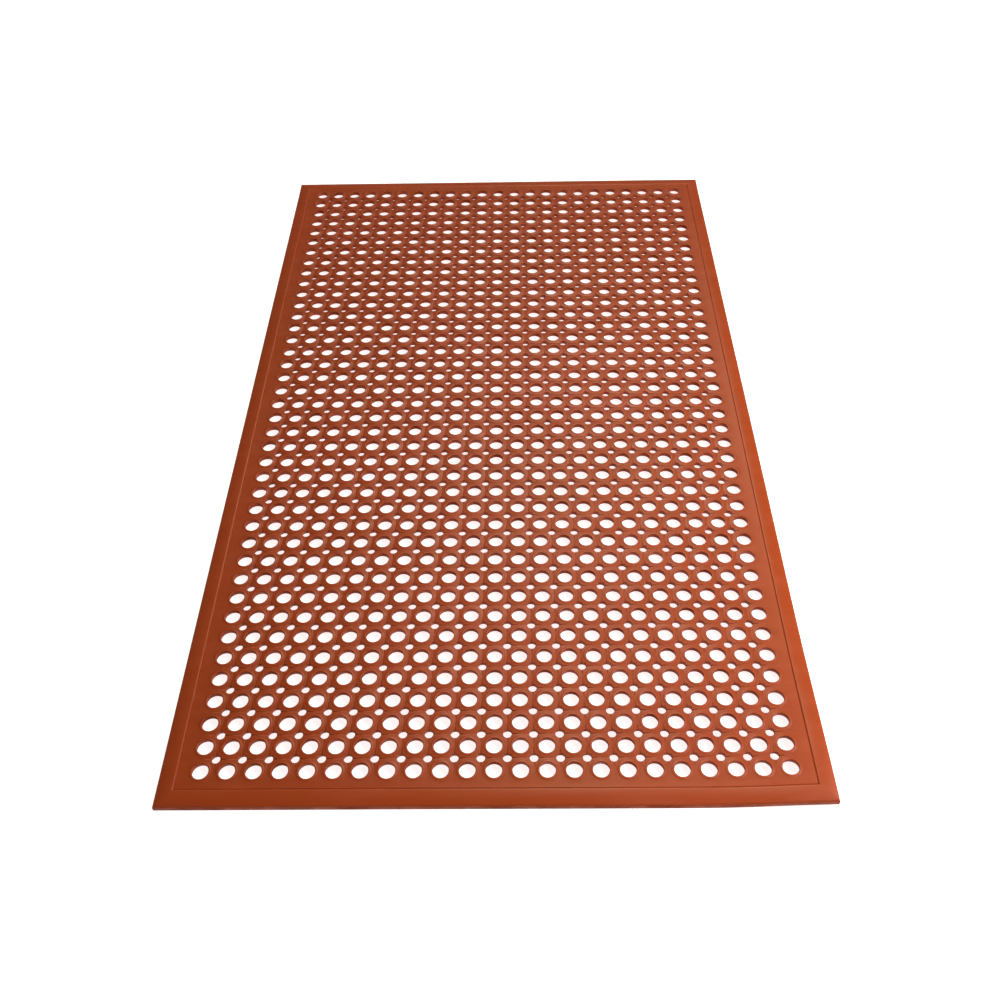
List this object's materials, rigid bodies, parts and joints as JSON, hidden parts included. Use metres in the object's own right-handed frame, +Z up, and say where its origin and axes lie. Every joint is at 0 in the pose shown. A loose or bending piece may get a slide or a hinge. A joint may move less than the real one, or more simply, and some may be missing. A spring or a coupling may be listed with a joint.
{
  "type": "anti fatigue mat",
  "caption": "Flexible rubber floor mat with a grid of round drain holes on studded feet, framed by bevelled edge ramps.",
  "frame": {"origin": "on the floor, under the middle of the mat", "axes": "+Y along the mat's length, +X across its width, +Z up through its thickness; the ramp at -Y is the front one"},
  "size_m": [0.9144, 1.524, 0.0127],
  "materials": {
    "panel_rubber": "moulded rubber, terracotta red-brown through and through, matte with a faint waxy sheen on the hole rims",
    "ramp_rubber": "moulded rubber, terracotta red-brown, smooth matte with a soft sheen along the crest"
  },
  "bodies": {
    "root": {"perforated_panel": "panel_rubber", "ramp_left": "ramp_rubber", "ramp_right": "ramp_rubber", "ramp_front": "ramp_rubber", "ramp_back": "ramp_rubber"}
  },
  "joints": []
}
